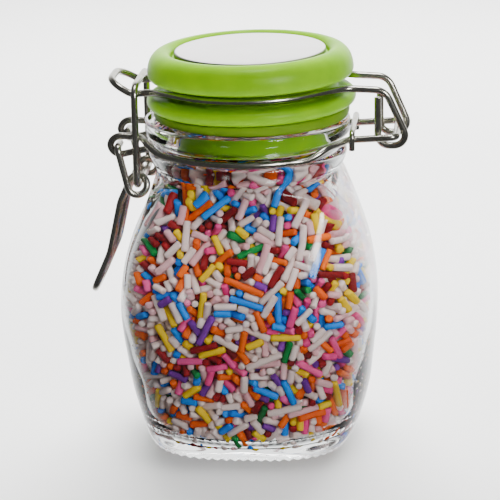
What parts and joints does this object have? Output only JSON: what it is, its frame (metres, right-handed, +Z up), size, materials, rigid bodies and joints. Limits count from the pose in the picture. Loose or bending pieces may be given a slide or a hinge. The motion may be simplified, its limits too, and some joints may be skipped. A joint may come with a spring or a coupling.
{
  "type": "jar of sprinkles",
  "caption": "Small clip-top glass jar with a rounded square body, a green lid and a wire closure, shut and filled with coloured sugar sprinkles.",
  "frame": {"origin": "on the jar's axis, on the surface it stands on, at the middle of its flat underside", "axes": "+Z up along the jar's axis, +X towards the hinge of the wire closure, -X towards its latch, -Y towards the front"},
  "size_m": [0.0783, 0.0628, 0.0976],
  "materials": {
    "soda_lime_glass": "clear, polished",
    "green_polypropylene": "soft gloss, moulded",
    "green_seal": "soft satin",
    "satin_steel_disc": "satin",
    "steel_wire": "drawn, bright",
    "sugar_sprinkles": "sugar with a thin glaze, mixed colours"
  },
  "bodies": {
    "root": {"glass_jar": "soda_lime_glass", "lid": "green_polypropylene", "lid_disc": "satin_steel_disc", "lid_seal": "green_seal", "neck_ring": "steel_wire", "ring_tie": "steel_wire", "bail": "steel_wire", "latch_lever": "steel_wire", "latch_link": "steel_wire", "sprinkles": "sugar_sprinkles"}
  },
  "joints": []
}
